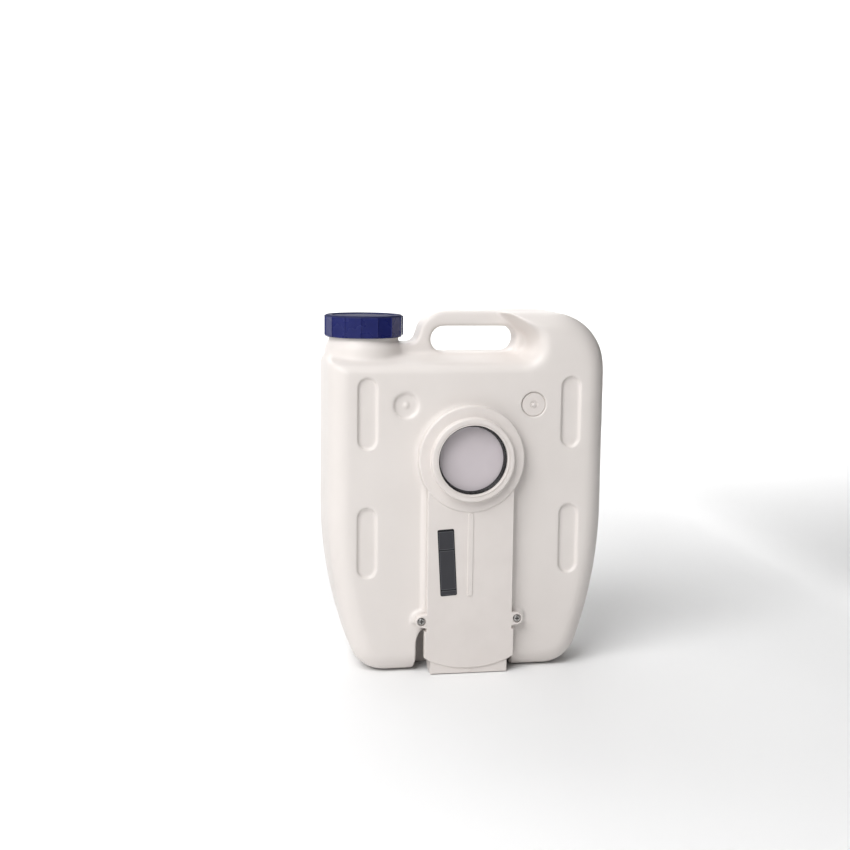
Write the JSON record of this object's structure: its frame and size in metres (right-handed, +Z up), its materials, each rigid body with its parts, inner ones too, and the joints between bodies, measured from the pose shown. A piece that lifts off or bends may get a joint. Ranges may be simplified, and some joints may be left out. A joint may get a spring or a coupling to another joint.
{
  "type": "portable toilet waste-holding tank",
  "caption": "Upright blow-moulded holding tank of a portable camp toilet, with a slide valve and pull handle, carrying grip, screw-capped pour-out neck and vent button.",
  "frame": {"origin": "middle of the object's box in X and Y, at the surface that the tank stands on", "axes": "+Z up towards the handle, +X to the right seen from the valve side, -Y out of the valve face"},
  "size_m": [0.336, 0.153, 0.4335],
  "materials": {
    "tank_plastic": "satin warm white moulded polyethylene",
    "housing_plastic": "satin warm white injection moulding",
    "cap_plastic": "semi-gloss dark blue",
    "blade_plastic": "satin light grey",
    "vent_plastic": "semi-gloss off-white",
    "rubber": "black seal rubber",
    "steel": "stainless",
    "brass": "plain",
    "label": "dark printed film"
  },
  "bodies": {
    "tank": {"tank_shell": "tank_plastic", "screw_inserts": "brass", "valve_base": "housing_plastic", "valve_cover": "housing_plastic", "base_gasket": "rubber", "lower_seal": "rubber", "lip_seal": "rubber", "seal_retainer": "housing_plastic", "blade_stop": "steel", "cover_screws": "steel", "label_plate": "label", "vent_gasket": "rubber", "vent_body": "housing_plastic", "vent_spring": "steel"},
    "cap_seal": {"cap_gasket": "rubber"},
    "cap": {"screw_cap": "cap_plastic"},
    "blade": {"valve_blade": "blade_plastic", "pull_handle": "housing_plastic", "handle_pins": "steel"},
    "vent_button": {"vent_pin": "vent_plastic", "vent_seal": "rubber", "vent_clip": "steel"}
  },
  "joints": [
    {"name": "cap_rise", "type": "slide", "parent": "tank", "child": "cap_seal", "axis": [0, 0, 1], "range_m": [0, 0.024]},
    {"name": "cap_turn", "type": "hinge", "parent": "cap_seal", "child": "cap", "pos_m": [-0.12, 0.0115, 0.4], "axis": [0, 0, 1], "range_deg": [0, 1080]},
    {"name": "blade_slide", "type": "slide", "parent": "tank", "child": "blade", "axis": [0, 0, -1], "range_m": [0, 0.085]},
    {"name": "vent_press", "type": "slide", "parent": "tank", "child": "vent_button", "axis": [0, 1, 0], "range_m": [0, 0.003], "stiffness_N_per_m": 300, "springref_m": -0.004, "deforming": ["vent_spring"]}
  ],
  "couplings": [
    {"joint": "cap_rise", "follows": "cap_turn", "m_per_rad": 0.0012732}
  ]
}
